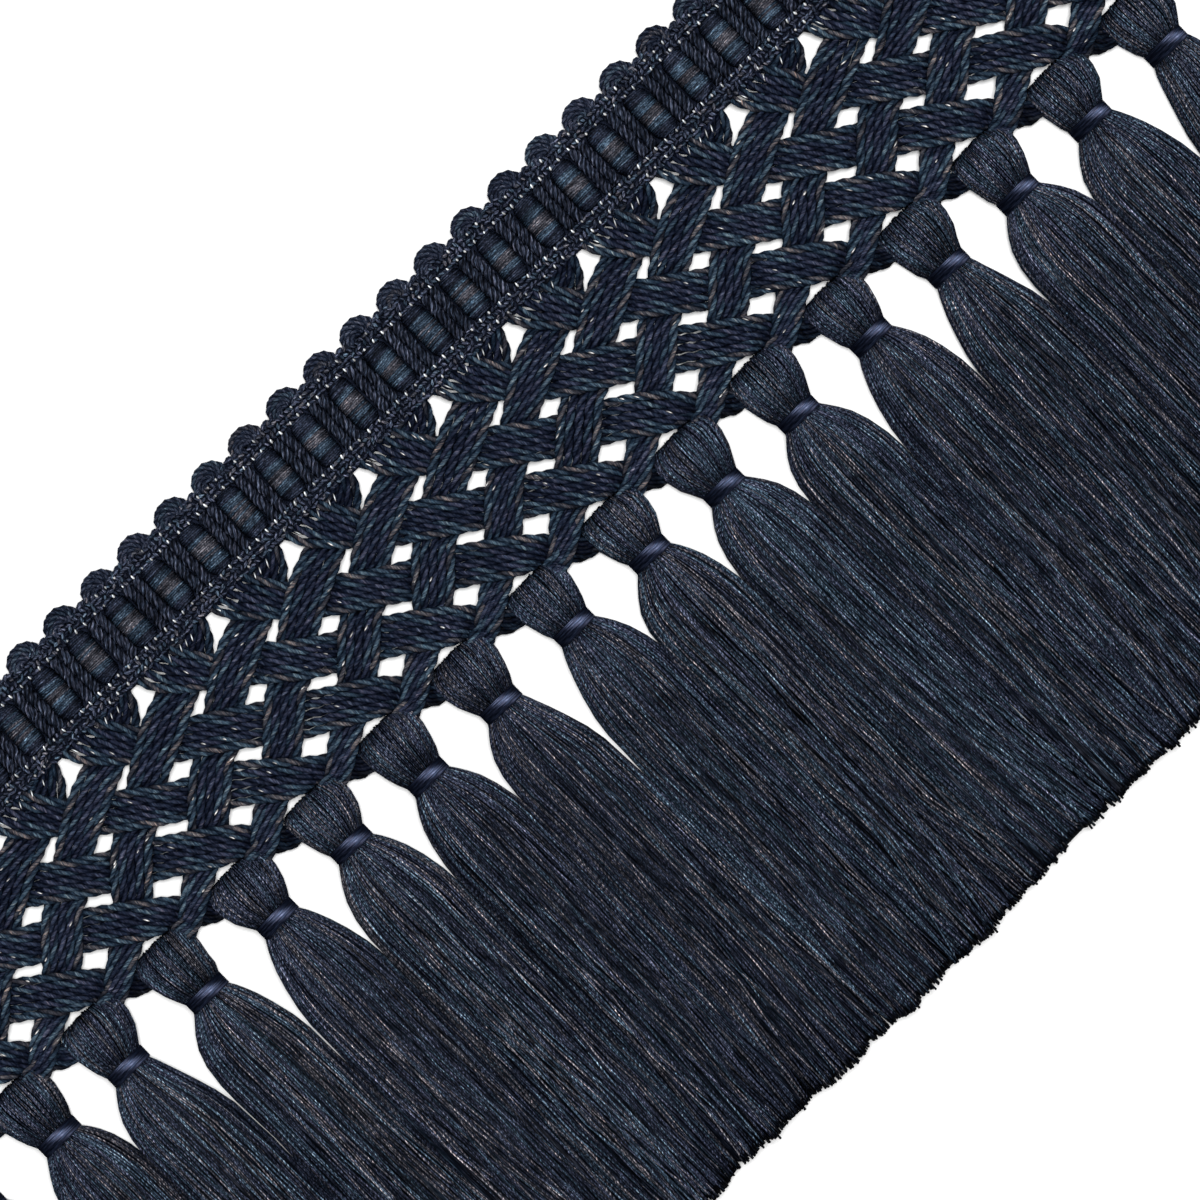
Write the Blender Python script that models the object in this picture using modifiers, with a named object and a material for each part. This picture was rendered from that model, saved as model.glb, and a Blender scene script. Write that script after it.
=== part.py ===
"""Tassel fringe trim: a woven heading, an open netting of plied cords and a row of tied tassels.

The trim lies flat on z = 0. +X runs along it and +Y points to its scalloped edge.
A drop is a distance from the tips of the scallops towards the cut ends of the tassels.
"""

import math
import random
from collections import namedtuple

import bmesh
import bpy
from mathutils import Matrix

MM = 0.001
GAP = 0.3 * MM                       # clearance between two pieces

# the whole trim
TASSELS = 18
PITCH = 20 * MM                      # from one tassel to the next
TOTAL_DROP = 171 * MM                # scallop tips to the longest cut end
HALF_LENGTH = TASSELS * PITCH / 2

# heading: a woven strip with a raised rung and a corded scallop every half pitch
RUNG_PITCH = PITCH / 2
RUNGS = 2 * TASSELS - 1
HEADING_EDGE_DROP = 3 * MM           # straight edge between two scallops
HEADING_FOOT_DROP = 21.9 * MM
HEADING_THICKNESS = 2 * MM
HEADING_HALF_LENGTH = HALF_LENGTH - RUNG_PITCH / 4
SCALLOP_WIDTH = 7.4 * MM
SCALLOP_STEPS = 6
RUNG_DROP = 12.3 * MM                # middle of a rung
RUNG_LENGTH = 10 * MM
RUNG_WIDTH = 4.6 * MM
RUNG_HEIGHT = 3 * MM
RUNG_CREST = 3.4 * MM                # top of a rung above the table
RUNG_SIDES = 6

# netting: crossed bands of cords, flat, with a line of gaps at each row of crossings
NET_THICKNESS = 2.4 * MM
NET_TOP_DROP = HEADING_FOOT_DROP + GAP
NET_FOOT_DROP = 65.6 * MM            # where a band enters the side of a tassel head
NET_ARCH_DROP = 64.2 * MM            # lower edge halfway between two tassels
END_NOTCH = 3 * MM                   # how far the end bands draw in between their turns
FIRST_GAP_DROP = 25.6 * MM           # triangles under the heading
FIRST_GAP_HALF = 2.9 * MM
FIRST_GAP_SHIFT = 0.7 * MM
HEAD_GAP_HALF = 3.4 * MM             # low triangles above the tassel heads
HEAD_GAP_DROP = 57.7 * MM
GAP_STRAY = 0.15 * MM                # most that a corner of the netting is out of its line
ARCH_STRAY = 0.4 * MM                # the same for the netting's lower edge

# diamonds of the netting, a row for each line of gaps: the drop and sideways shift of their
# middles, half their size, and how far the top corner and the left corner are off centre
GapRow = namedtuple("GapRow", "above_tassels drop shift half_width half_height lean tilt")
GAP_ROWS = (
    GapRow(True, 33.0 * MM, -2.0 * MM, 2.5 * MM, 1.3 * MM, 1.6 * MM, -0.8 * MM),
    GapRow(False, 39.7 * MM, -2.9 * MM, 2.8 * MM, 1.75 * MM, 0.0 * MM, 0.0 * MM),
    GapRow(True, 46.8 * MM, -1.7 * MM, 2.9 * MM, 1.9 * MM, -0.9 * MM, 0.6 * MM),
    GapRow(False, 54.1 * MM, -1.1 * MM, 3.2 * MM, 2.3 * MM, -0.3 * MM, 0.1 * MM),
)

# the round bundle of cords that each tassel hangs on
BUNDLE_DROP = 63.2 * MM
BUNDLE_HEIGHT = 2.5 * MM             # its middle above the table
BUNDLE_RADIUS = 1.2 * MM
BUNDLE_LENGTH = 17.6 * MM
BUNDLE_SIDES = 6

# tassel: a section across it for each drop, flat below and arched above. follow says how far a
# section moves with the tie, which isn't quite at the same place on any two tassels
TIE_DROP = 73.4 * MM
TIE_WIDTH = 3 * MM
TIE_WALL = 0.8 * MM
NECK_HALF = 3.45 * MM
NECK_BASE = TIE_WALL + GAP
NECK_TOP = 5.2 * MM
NECK_REACH = TIE_WIDTH / 2 + GAP     # half the length of the groove that the tie sits in
SHOULDER = 0.1 * MM                  # slope of the groove's ends
ARCH_STEPS = 6
ARCH_FULLNESS = 0.75                 # 1 is a half ellipse, less is squarer
Section = namedtuple("Section", "drop half_width base top follow")
TASSEL_SECTIONS = (
    Section(59.7 * MM, 4.6 * MM, 1.3 * MM, 3.3 * MM, 0.0),
    Section(61.5 * MM, 6.6 * MM, 0.0 * MM, 5.0 * MM, 0.0),
    Section(63.5 * MM, 7.2 * MM, 0.0 * MM, 5.4 * MM, 0.0),
    Section(68.3 * MM, 6.2 * MM, 0.0 * MM, 5.9 * MM, 0.5),
    Section(TIE_DROP - NECK_REACH - SHOULDER, 4.5 * MM, 0.3 * MM, 6.0 * MM, 1.0),
    Section(TIE_DROP - NECK_REACH, NECK_HALF, NECK_BASE, NECK_TOP, 1.0),
    Section(TIE_DROP + NECK_REACH, NECK_HALF, NECK_BASE, NECK_TOP, 1.0),
    Section(TIE_DROP + NECK_REACH + SHOULDER, 4.5 * MM, 0.3 * MM, 6.0 * MM, 1.0),
    Section(77.0 * MM, 6.4 * MM, 0.0 * MM, 6.4 * MM, 0.8),
    Section(80.2 * MM, 8.0 * MM, 0.0 * MM, 6.6 * MM, 0.4),
    Section(85.5 * MM, 9.2 * MM, 0.0 * MM, 6.2 * MM, 0.1),
    Section(93.0 * MM, 9.8 * MM, 0.0 * MM, 5.8 * MM, 0.0),
    Section(TOTAL_DROP, 9.8 * MM, 0.0 * MM, 4.6 * MM, 0.0),
)
HEAD_SECTIONS = TASSEL_SECTIONS[:3]  # what the netting keeps clear of
TIE_STRAY = 0.6 * MM                 # most that a tie is off its line, along and across
SHORTEST_SKIRT = 1.6 * MM            # most that a skirt is shorter than the longest
UNEVEN_SEED = 5

YARN_NAVY = (0.016, 0.021, 0.038)
YARN_TEAL = (0.022, 0.040, 0.060)
SATIN_NAVY = (0.010, 0.013, 0.045)


def height_of(drop):
    """World Y of a drop."""
    return TOTAL_DROP / 2 - drop


def centre_of(index):
    """World X of a tassel."""
    return (index - (TASSELS - 1) / 2) * PITCH


def clear_scene():
    """Remove what the scene holds."""
    for item in list(bpy.data.objects):
        bpy.data.objects.remove(item, do_unlink=True)


def new_collection(name):
    """Add a collection to the scene."""
    collection = bpy.data.collections.new(name)
    bpy.context.scene.collection.children.link(collection)
    return collection


def yarn_material(name, colour, roughness):
    """A plain Principled material."""
    material = bpy.data.materials.new(name)
    material.use_nodes = True
    shader = material.node_tree.nodes["Principled BSDF"]
    shader.inputs["Base Color"].default_value = (*colour, 1.0)
    shader.inputs["Roughness"].default_value = roughness
    shader.inputs["Metallic"].default_value = 0.0
    material.diffuse_color = (*colour, 1.0)
    return material


def object_from_bmesh(name, shape, collection):
    """Turn a bmesh into an object with its faces pointing out."""
    bmesh.ops.recalc_face_normals(shape, faces=shape.faces)
    mesh = bpy.data.meshes.new(name)
    shape.to_mesh(mesh)
    shape.free()
    made = bpy.data.objects.new(name, mesh)
    collection.objects.link(made)
    return made


def extruded_outline(name, outlines, thickness, matrix, collection):
    """A flat shape of closed outlines, the first its edge and the others its holes.

    It is drawn in millimetres, because a curve's fill is too coarse for one this small in metres.
    """
    curve = bpy.data.curves.new(name, "CURVE")
    curve.dimensions = "2D"
    curve.fill_mode = "BOTH"
    curve.extrude = thickness / 2 / MM
    for outline in outlines:
        spline = curve.splines.new("POLY")
        spline.points.add(len(outline) - 1)
        for point, (x, y) in zip(spline.points, outline):
            point.co = (x / MM, y / MM, 0.0, 1.0)
        spline.use_cyclic_u = True
    drawn = bpy.data.objects.new(name, curve)
    collection.objects.link(drawn)
    bpy.context.view_layer.update()
    evaluated = drawn.evaluated_get(bpy.context.evaluated_depsgraph_get())
    mesh = bpy.data.meshes.new_from_object(evaluated)
    bpy.data.objects.remove(drawn)
    shape = bmesh.new()
    shape.from_mesh(mesh)
    bpy.data.meshes.remove(mesh)
    bmesh.ops.remove_doubles(shape, verts=shape.verts, dist=1e-4)
    bmesh.ops.dissolve_limit(shape, angle_limit=math.radians(1), verts=shape.verts, edges=shape.edges)
    bmesh.ops.scale(shape, vec=(MM, MM, MM), verts=shape.verts)
    made = object_from_bmesh(name, shape, collection)
    made.matrix_world = matrix
    return made


def round_bar(name, length, radius_across, radius_up, sides, matrix, collection):
    """A bar of elliptical section along its own Z, with a flat side up."""
    shape = bmesh.new()
    bmesh.ops.create_cone(shape, cap_ends=True, segments=sides, radius1=1.0, radius2=1.0, depth=length,
                          matrix=Matrix.Rotation(math.pi / sides, 4, "Z"))
    bmesh.ops.scale(shape, vec=(radius_across, radius_up, 1.0), verts=shape.verts)
    made = object_from_bmesh(name, shape, collection)
    made.matrix_world = matrix
    return made


def as_cutter(tool):
    """Hide a shape that only cuts or joins."""
    tool.hide_render = True
    tool.display_type = "WIRE"


def repeat_along_x(tool, count, spacing):
    """Copy a tool in a row."""
    array = tool.modifiers.new("row", "ARRAY")
    array.count = count
    array.use_relative_offset = False
    array.use_constant_offset = True
    array.constant_offset_displace = tool.matrix_world.to_3x3().inverted() @ spacing
    array.use_merge_vertices = False


def add_boolean(target, tool, operation):
    """Cut or join a piece with a tool."""
    modifier = target.modifiers.new(tool.name, "BOOLEAN")
    modifier.operation = operation
    modifier.solver = "EXACT"
    modifier.object = tool


def heading_outline():
    """Edge of the woven strip, with a round scallop over each rung."""
    half_chord = SCALLOP_WIDTH / 2
    radius = (half_chord ** 2 + HEADING_EDGE_DROP ** 2) / (2 * HEADING_EDGE_DROP)
    half_angle = math.acos((radius - HEADING_EDGE_DROP) / radius)
    foot = height_of(HEADING_FOOT_DROP)
    edge = height_of(HEADING_EDGE_DROP)
    outline = [(-HEADING_HALF_LENGTH, foot), (HEADING_HALF_LENGTH, foot), (HEADING_HALF_LENGTH, edge)]
    for rung in reversed(range(RUNGS)):
        middle = (rung - (RUNGS - 1) / 2) * RUNG_PITCH
        for step in range(SCALLOP_STEPS + 1):
            angle = half_angle * (1 - 2 * step / SCALLOP_STEPS)
            outline.append((middle + radius * math.sin(angle), height_of(radius) + radius * math.cos(angle)))
    outline.append((-HEADING_HALF_LENGTH, edge))
    return outline


def make_heading(parts, cutters):
    """The woven strip with its row of raised rungs."""
    heading = extruded_outline("heading", [heading_outline()], HEADING_THICKNESS,
                               Matrix.Translation((0, 0, HEADING_THICKNESS / 2)), parts)
    first_rung = -(RUNGS - 1) / 2 * RUNG_PITCH
    place = Matrix.Translation((first_rung, height_of(RUNG_DROP), RUNG_CREST - RUNG_HEIGHT / 2))
    rungs = round_bar("rungs", RUNG_LENGTH, RUNG_WIDTH / 2, RUNG_HEIGHT / 2, RUNG_SIDES,
                      place @ Matrix.Rotation(math.pi / 2, 4, "X"), cutters)
    repeat_along_x(rungs, RUNGS, Matrix.Translation((RUNG_PITCH, 0, 0)).translation)
    as_cutter(rungs)
    add_boolean(heading, rungs, "UNION")
    return heading


def net_edge(uneven):
    """Edge of the netting: straight under the heading, notched round each tassel head."""
    top = height_of(NET_TOP_DROP)
    left = [(-HALF_LENGTH, top)]
    for row in GAP_ROWS:
        inset = 0.0 if row.above_tassels else END_NOTCH
        left.append((inset - HALF_LENGTH, height_of(row.drop)))
    left.append((GAP - HALF_LENGTH, height_of(NET_ARCH_DROP)))
    edge = list(left)
    for index in range(TASSELS):
        x = centre_of(index)
        flank = [(section.half_width + GAP, section.drop - GAP) for section in HEAD_SECTIONS]
        flank = [(HEAD_GAP_HALF, flank[0][1])] + flank + [(flank[-1][0], NET_FOOT_DROP)]
        left_flank = [(x - half, height_of(drop - uneven.uniform(0, GAP_STRAY))) for half, drop in flank]
        right_flank = [(x + half, height_of(drop - uneven.uniform(0, GAP_STRAY))) for half, drop in flank]
        apex = (x, height_of(HEAD_GAP_DROP + uneven.uniform(-ARCH_STRAY, ARCH_STRAY)))
        edge += left_flank[::-1] + [apex] + right_flank
        if index < TASSELS - 1:
            edge.append((x + PITCH / 2, height_of(NET_ARCH_DROP + uneven.uniform(-ARCH_STRAY, ARCH_STRAY))))
    edge += [(-x, y) for x, y in reversed(left)]
    return edge


def net_gaps(uneven):
    """Outlines of the gaps between the crossed bands."""
    gaps = []
    for index in range(TASSELS - 1):
        x = centre_of(index) + PITCH / 2 + FIRST_GAP_SHIFT
        y = height_of(FIRST_GAP_DROP)
        half = FIRST_GAP_HALF
        gaps.append([(x - half, y - half), (x + half, y - half * 0.6), (x, y + half)])
    for row in GAP_ROWS:
        shift = row.shift if row.above_tassels else row.shift + PITCH / 2
        y = height_of(row.drop)
        for index in range(TASSELS if row.above_tassels else TASSELS - 1):
            x = centre_of(index) + shift
            gaps.append([(x - row.half_width, y + row.tilt), (x - row.lean, y - row.half_height),
                         (x + row.half_width, y - row.tilt), (x + row.lean, y + row.half_height)])
    return [[(x + uneven.uniform(-GAP_STRAY, GAP_STRAY), y + uneven.uniform(-GAP_STRAY, GAP_STRAY))
             for x, y in gap] for gap in gaps]


def make_netting(parts, cutters):
    """The netting as one flat sheet with its gaps, and the cord bundles that carry the tassels."""
    uneven = random.Random(UNEVEN_SEED)
    outlines = [net_edge(uneven)] + net_gaps(uneven)
    netting = extruded_outline("netting", outlines, NET_THICKNESS,
                               Matrix.Translation((0, 0, NET_THICKNESS / 2)), parts)
    place = Matrix.Translation((centre_of(0), height_of(BUNDLE_DROP), BUNDLE_HEIGHT))
    bundles = round_bar("bundles", BUNDLE_LENGTH, BUNDLE_RADIUS, BUNDLE_RADIUS, BUNDLE_SIDES,
                        place @ Matrix.Rotation(math.pi / 2, 4, "Y"), cutters)
    repeat_along_x(bundles, TASSELS, Matrix.Translation((PITCH, 0, 0)).translation)
    as_cutter(bundles)
    add_boolean(netting, bundles, "UNION")
    return netting


def arch(half_width, base, top):
    """A flat-bottomed arch in X and Z, from its right foot over the crown to its left foot."""
    points = []
    for step in range(ARCH_STEPS + 1):
        angle = math.pi * step / ARCH_STEPS
        reach = math.copysign(abs(math.cos(angle)) ** ARCH_FULLNESS, math.cos(angle))
        points.append((half_width * reach, base + (top - base) * math.sin(angle) ** ARCH_FULLNESS))
    return points


def make_tassel(name, x, stray_x, stray_drop, shortfall, tunnel, parts):
    """One tassel: yarn folded over its bundle of cords, drawn in at the neck, hanging to a cut end."""
    shape = bmesh.new()
    rings = []
    for section in TASSEL_SECTIONS:
        drop = section.drop + section.follow * stray_drop
        if section is TASSEL_SECTIONS[-1]:
            drop -= shortfall
        across = arch(section.half_width, section.base, section.top)
        rings.append([shape.verts.new((x + section.follow * stray_x + dx, height_of(drop), z))
                      for dx, z in across])
    for above, below in zip(rings, rings[1:]):
        for side in range(len(above)):
            after = (side + 1) % len(above)
            shape.faces.new((above[side], above[after], below[after], below[side]))
    shape.faces.new(rings[0])
    shape.faces.new(rings[-1])
    tassel = object_from_bmesh(name, shape, parts)
    add_boolean(tassel, tunnel, "DIFFERENCE")
    return tassel


def make_tie(name, x, drop, parts):
    """The flat band of thread wound round a tassel's neck."""
    outer = arch(NECK_HALF + GAP + TIE_WALL, 0.0, NECK_TOP + GAP + TIE_WALL)
    inner = arch(NECK_HALF + GAP, NECK_BASE - GAP, NECK_TOP + GAP)
    place = Matrix.Translation((x, height_of(drop), 0)) @ Matrix.Rotation(math.pi / 2, 4, "X")
    return extruded_outline(name, [outer, inner], TIE_WIDTH, place, parts)


def make_tunnel(cutters):
    """The way through every tassel head for its bundle of cords."""
    place = Matrix.Translation((0, height_of(BUNDLE_DROP), BUNDLE_HEIGHT)) @ Matrix.Rotation(math.pi / 2, 4, "Y")
    radius = BUNDLE_RADIUS + GAP
    tunnel = round_bar("tunnel", 2 * HALF_LENGTH, radius, radius, BUNDLE_SIDES, place, cutters)
    as_cutter(tunnel)
    return tunnel


def main():
    clear_scene()
    parts = new_collection("tassel_fringe_trim")
    cutters = new_collection("cutters")
    woven = yarn_material("woven_yarn", YARN_NAVY, 0.85)
    corded = yarn_material("plied_cord", YARN_TEAL, 0.7)
    spun = yarn_material("tassel_yarn", YARN_TEAL, 0.6)
    satin = yarn_material("tie_thread", SATIN_NAVY, 0.35)

    make_heading(parts, cutters).data.materials.append(woven)
    make_netting(parts, cutters).data.materials.append(corded)
    tunnel = make_tunnel(cutters)
    uneven = random.Random(UNEVEN_SEED)
    for index in range(TASSELS):
        stray_x = uneven.uniform(-TIE_STRAY, TIE_STRAY)
        stray_drop = uneven.uniform(-TIE_STRAY, TIE_STRAY)
        shortfall = 0.0 if index == TASSELS // 2 else uneven.uniform(0.0, SHORTEST_SKIRT)
        x = centre_of(index)
        tassel = make_tassel(f"tassel_{index + 1:02d}", x, stray_x, stray_drop, shortfall, tunnel, parts)
        tassel.data.materials.append(spun)
        tie = make_tie(f"tie_{index + 1:02d}", x + stray_x, TIE_DROP + stray_drop, parts)
        tie.data.materials.append(satin)


main()
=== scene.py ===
"""Tassel fringe trim: the finish of every yarn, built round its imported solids.

The trim lies flat on z = 0. +X runs along it and +Y points to its scalloped edge. A drop is a
distance from the tips of the scallops towards the cut ends of the tassels. Lengths are in
millimetres, apart from the solids' boxes and the stage, which are in metres.
"""

import math
from collections import namedtuple
from itertools import chain, product

import bpy
import numpy as np
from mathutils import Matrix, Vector


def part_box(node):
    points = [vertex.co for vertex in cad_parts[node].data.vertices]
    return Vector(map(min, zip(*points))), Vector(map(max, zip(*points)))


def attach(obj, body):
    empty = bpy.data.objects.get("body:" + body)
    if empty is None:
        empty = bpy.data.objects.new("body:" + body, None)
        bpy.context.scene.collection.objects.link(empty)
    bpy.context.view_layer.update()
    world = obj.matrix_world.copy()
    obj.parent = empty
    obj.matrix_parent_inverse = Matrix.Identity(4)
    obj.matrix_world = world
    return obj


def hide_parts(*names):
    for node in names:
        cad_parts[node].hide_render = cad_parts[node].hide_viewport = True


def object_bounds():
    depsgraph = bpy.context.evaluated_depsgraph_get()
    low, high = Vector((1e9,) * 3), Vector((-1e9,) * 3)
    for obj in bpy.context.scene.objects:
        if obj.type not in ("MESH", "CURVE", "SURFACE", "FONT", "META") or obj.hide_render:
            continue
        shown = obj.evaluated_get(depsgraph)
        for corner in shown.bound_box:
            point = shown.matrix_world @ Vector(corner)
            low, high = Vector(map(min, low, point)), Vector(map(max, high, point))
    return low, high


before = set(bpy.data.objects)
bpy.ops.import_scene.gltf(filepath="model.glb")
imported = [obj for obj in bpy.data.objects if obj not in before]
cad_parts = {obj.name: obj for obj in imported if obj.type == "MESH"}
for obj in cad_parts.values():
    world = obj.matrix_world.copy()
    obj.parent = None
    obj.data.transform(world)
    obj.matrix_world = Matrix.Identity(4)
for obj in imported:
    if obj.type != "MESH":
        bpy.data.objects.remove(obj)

bl_info = {
    "name": "Tassel Fringe Trim",
    "version": (1, 0, 0),
    "blender": (4, 5, 0),
    "location": "View3D > Sidebar > Trim",
    "description": "Woven heading, corded netting, tassels and ties of a fringe trim",
    "category": "Object",
}

MM = 0.001
BODY = "root"
YARNS = ("navy", "indigo", "teal", "taupe")
SEEDS = {"rungs": 3, "columns": 4, "scallops": 5, "stitches": 4, "catch": 6, "netting": 7,
         "tassels": 11, "ties": 13}


def table(kind, *rows):
    """Rows of numbers as named tuples of one kind."""
    return [kind(*row) for row in rows]


# places read from the solids
CAD_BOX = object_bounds()
TOP = CAD_BOX[1].y / MM
TASSEL_NODES = sorted(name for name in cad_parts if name.startswith("tassel_"))
TIE_NODES = sorted(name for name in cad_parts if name.startswith("tie_"))
TASSELS = len(TASSEL_NODES)
HEADING_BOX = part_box("heading")
TAPE_HALF = HEADING_BOX[1].x / MM
NET_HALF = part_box("netting")[1].x / MM
PITCH = 2 * NET_HALF / TASSELS

# heading: drops, sizes and heights of its parts
RUNG_PITCH = PITCH / 2
RUNGS = 2 * TASSELS - 1
RUNG_DROP = 12.4
RUNG_LENGTH = 10.8
RUNG_HALF_WIDTH = 2.75
RUNG_THREADS = 25
RUNG_SIDES = 14
RUNG_BANDS = ((0.22, "navy"), (0.38, "teal"), (0.6, "taupe"), (0.79, "teal"), (1.5, "navy"))
RUNG_TONE = {"navy": 0.54, "teal": 0.8, "taupe": 0.72}
COLUMN_OFFSET = 1.12
COLUMN_RADIUS = 1.0
COLUMN_DROPS = (7.0, 18.3)
COLUMN_MARGIN = 2.4
SCALLOP_DROP = 3.7
LOOP_DROP = 3.9
TAPE_TOP = 0.95
TAPE_UNDER = 0.1
TAPE_FOOT = 21.8

# one arc of cord in a scallop: half its width, its rise above the scallop's foot, height, radius
SCALLOP_ARCS = table(
    namedtuple("ScallopArc", "half_width rise height radius"),
    (3.45, 3.05, 0.85, 0.62),
    (2.6, 2.1, 1.35, 0.6),
    (1.65, 1.15, 1.6, 0.6),
    (0.75, 0.3, 1.65, 0.55))

# a row of small stitches along the heading: its drop, the stitches' pitch, slant and height
STITCH_ROWS = table(
    namedtuple("StitchRow", "drop pitch slant height"),
    (3.5, 1.1, 25, 1.2),
    (4.5, 1.0, -40, 1.5),
    (5.5, 1.0, 35, 1.6),
    (6.5, 1.0, -30, 1.5),
    (18.2, 1.0, 35, 1.5),
    (19.2, 1.0, -35, 1.6),
    (20.2, 1.0, 40, 1.5),
    (21.2, 1.0, -20, 1.2))

# a row of catch stitches in pale thread: drop, pitch, half length, and how many of them show
CATCH_ROWS = table(
    namedtuple("CatchRow", "drop pitch half_length shown"),
    (6.65, 2.5, 0.5, 1.0),
    (18.3, 2.5, 0.5, 1.0),
    (4.4, 2.5, 0.4, 0.35),
    (20.7, 2.5, 0.4, 0.4))
CATCH_HEIGHT = 2.25

# pale thread in the slits under the heading: places across a group of cords, drop, height and lean
SLIT_PLACES = (-6.2, -4.9, 0.2, 3.3, 4.8, 6.4)
SLIT_DROP = 22.9
SLIT_HEIGHT = 2.6
SLIT_LEAN = 1.15
NET_FLECKS = 1.9
FLECK_TINT = np.array((1.0, 0.93, 0.9))

# netting: bands of plied cords. A rightward band lies on top at the odd rows of crossings and a
# leftward band at the even ones. A run is where a band lies on top, or leaves the heading, given by
# four points on each of its two edges, each across from its tassel's middle and down the drop
Run = namedtuple("Run", "row over first_edge last_edge")
RIGHTWARD_RUNS = (
    Run(0, True, ((-8.3, 21.5), (-6.6, 25.5), (-0.5, 31.4), (0.6, 32.0)),
        ((2.6, 21.5), (4.6, 24.4), (6.3, 27.3), (7.0, 28.4))),
    Run(2, True, ((6.9, 37.85), (9.55, 39.65), (17.0, 44.8), (21.0, 47.5)),
        ((15.4, 33.6), (16.9, 34.9), (23.55, 39.55), (27.05, 41.45))),
    Run(4, True, ((28.3, 51.8), (32.85, 54.3), (38.2, 58.1), (42.0, 59.4)),
        ((34.9, 45.5), (39.7, 48.8), (46.0, 53.4), (49.6, 56.9))),
)
LEFTWARD_RUNS = (
    Run(0, False, ((3.6, 21.5), (1.5, 22.6), (-0.5, 23.4), (-2.5, 24.2)),
        ((10.6, 21.5), (10.3, 23.4), (9.5, 25.5), (7.4, 27.8))),
    Run(1, True, ((-6.25, 25.5), (-12.6, 27.8), (-19.4, 32.0), (-23.1, 34.9)),
        ((-0.3, 31.4), (-4.6, 33.6), (-13.1, 37.85), (-16.45, 39.55))),
    Run(3, True, ((-30.45, 39.65), (-32.95, 41.45), (-39.0, 47.5), (-40.3, 48.8)),
        ((-23.0, 44.8), (-25.1, 45.5), (-31.7, 51.8), (-34.0, 53.4))),
    Run(5, True, ((-47.15, 54.3), (-50.4, 56.9), (-52.5, 58.8), (-53.6, 60.1)),
        ((-41.8, 58.1), (-44.2, 59.3), (-49.5, 62.6), (-52.9, 63.9))),
)
BANDS = {1: RIGHTWARD_RUNS, -1: LEFTWARD_RUNS}
ROWS = 6
RUN_PARTS = 12
CORDS = 5
CORD_INSET = 0.108
PLY_COLOURS = (("teal", "taupe", "teal"), ("navy", "indigo", "teal"), ("navy", "indigo", "navy"),
               ("indigo", "navy", "teal"), ("teal", "teal", "taupe"))
NET_TONE = 1.08
NET_WAVES = ((9.0, 0.35, 5.0, 1.0), (15.5, 0.45, -8.0, 4.0), (5.7, 0.2, 6.5, 2.0))
NET_SLOPE = math.radians(36)
LOW = 0.9
HIGH = 2.3
# painted shade down the netting, by drop: darker where the cords come out from under the heading
# and where they go into the tassels' heads
NET_SHADES = {1: ((21.5, 0.5), (23.5, 1.0), (59.5, 1.0), (61.5, 0.25)),
             -1: ((21.5, 0.5), (23.5, 1.0), (59.5, 1.0), (61.5, 0.8))}

# where a band gathers in a tassel's head: across, drop, how far apart its cords lie, height, and
# how much higher every second cord is
GATHERS = {
    1: ((-8.4, 63.2, -0.9, LOW, 0.3), (-4.5, 64.0, -0.6, 1.6, 0), (-0.9, 63.6, -0.4, 2.2, 0)),
    -1: ((5.0, 62.3, 0.9, 3.1, 0), (3.0, 63.0, 0.7, 2.8, 0), (0.9, 63.4, 0.5, 2.4, 0))}

# at the ends of the trim each band folds back, and what lies far out is drawn in
FOLD_ROWS = (1, 3, 5)
FOLD_X = 182.5
DRAWN_IN_X = 172.0
DRAWN_IN = 0.66

# tassel: half its width and the height of its crown for each drop, and how far it follows its tie
TASSEL_SECTIONS = table(
    namedtuple("Section", "drop half_width base crown follow"),
    (61.6, 5.5, 0.45, 0.8, 0.0),
    (60.3, 5.7, 0.5, 1.7, 0.0),
    (59.9, 5.8, 0.5, 3.0, 0.0),
    (60.2, 6.15, 0.4, 4.2, 0.0),
    (61.2, 6.8, 0.3, 5.0, 0.0),
    (63.0, 7.05, 0.3, 5.5, 0.0),
    (65.5, 6.9, 0.3, 5.8, 0.2),
    (68.3, 6.2, 0.3, 5.9, 0.5),
    (70.3, 5.45, 0.4, 5.8, 0.8),
    (71.9, 4.65, 0.9, 5.4, 1.0),
    (73.4, 3.9, 1.2, 5.1, 1.0),
    (74.9, 4.65, 0.9, 5.5, 1.0),
    (76.3, 5.6, 0.4, 6.0, 0.9),
    (78.0, 6.6, 0.3, 6.3, 0.7),
    (80.5, 7.8, 0.3, 6.4, 0.4),
    (84.0, 8.9, 0.3, 6.2, 0.2),
    (88.4, 9.75, 0.3, 5.9, 0.1),
    (92.5, 10.05, 0.3, 5.6, 0.0),
    (103.0, 10.05, 0.3, 5.3, 0.0),
    (115.0, 10.05, 0.3, 5.1, 0.0),
    (129.0, 10.05, 0.3, 4.9, 0.0),
    (143.0, 10.05, 0.3, 4.8, 0.0),
    (157.0, 10.05, 0.3, 4.7, 0.0),
    (168.6, 10.05, 0.3, 4.6, 0.0),
    (170.2, 10.05, 0.3, 4.5, 0.0),
    (171.0, 10.05, 0.3, 4.3, 0.0))
SWAYS = ((4.0, 1.0), (7.0, 1.7), (11.0, 2.3), (19.0, 2.4))
SKIRT_DROP = 84
ARCH_POWER = 8 / 3
TIE_DROP = 73.4
TIE_TURNS = 8
# strength of the painted highlight on a tie
TIE_PAINTED_GLEAM = 6.0
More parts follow.
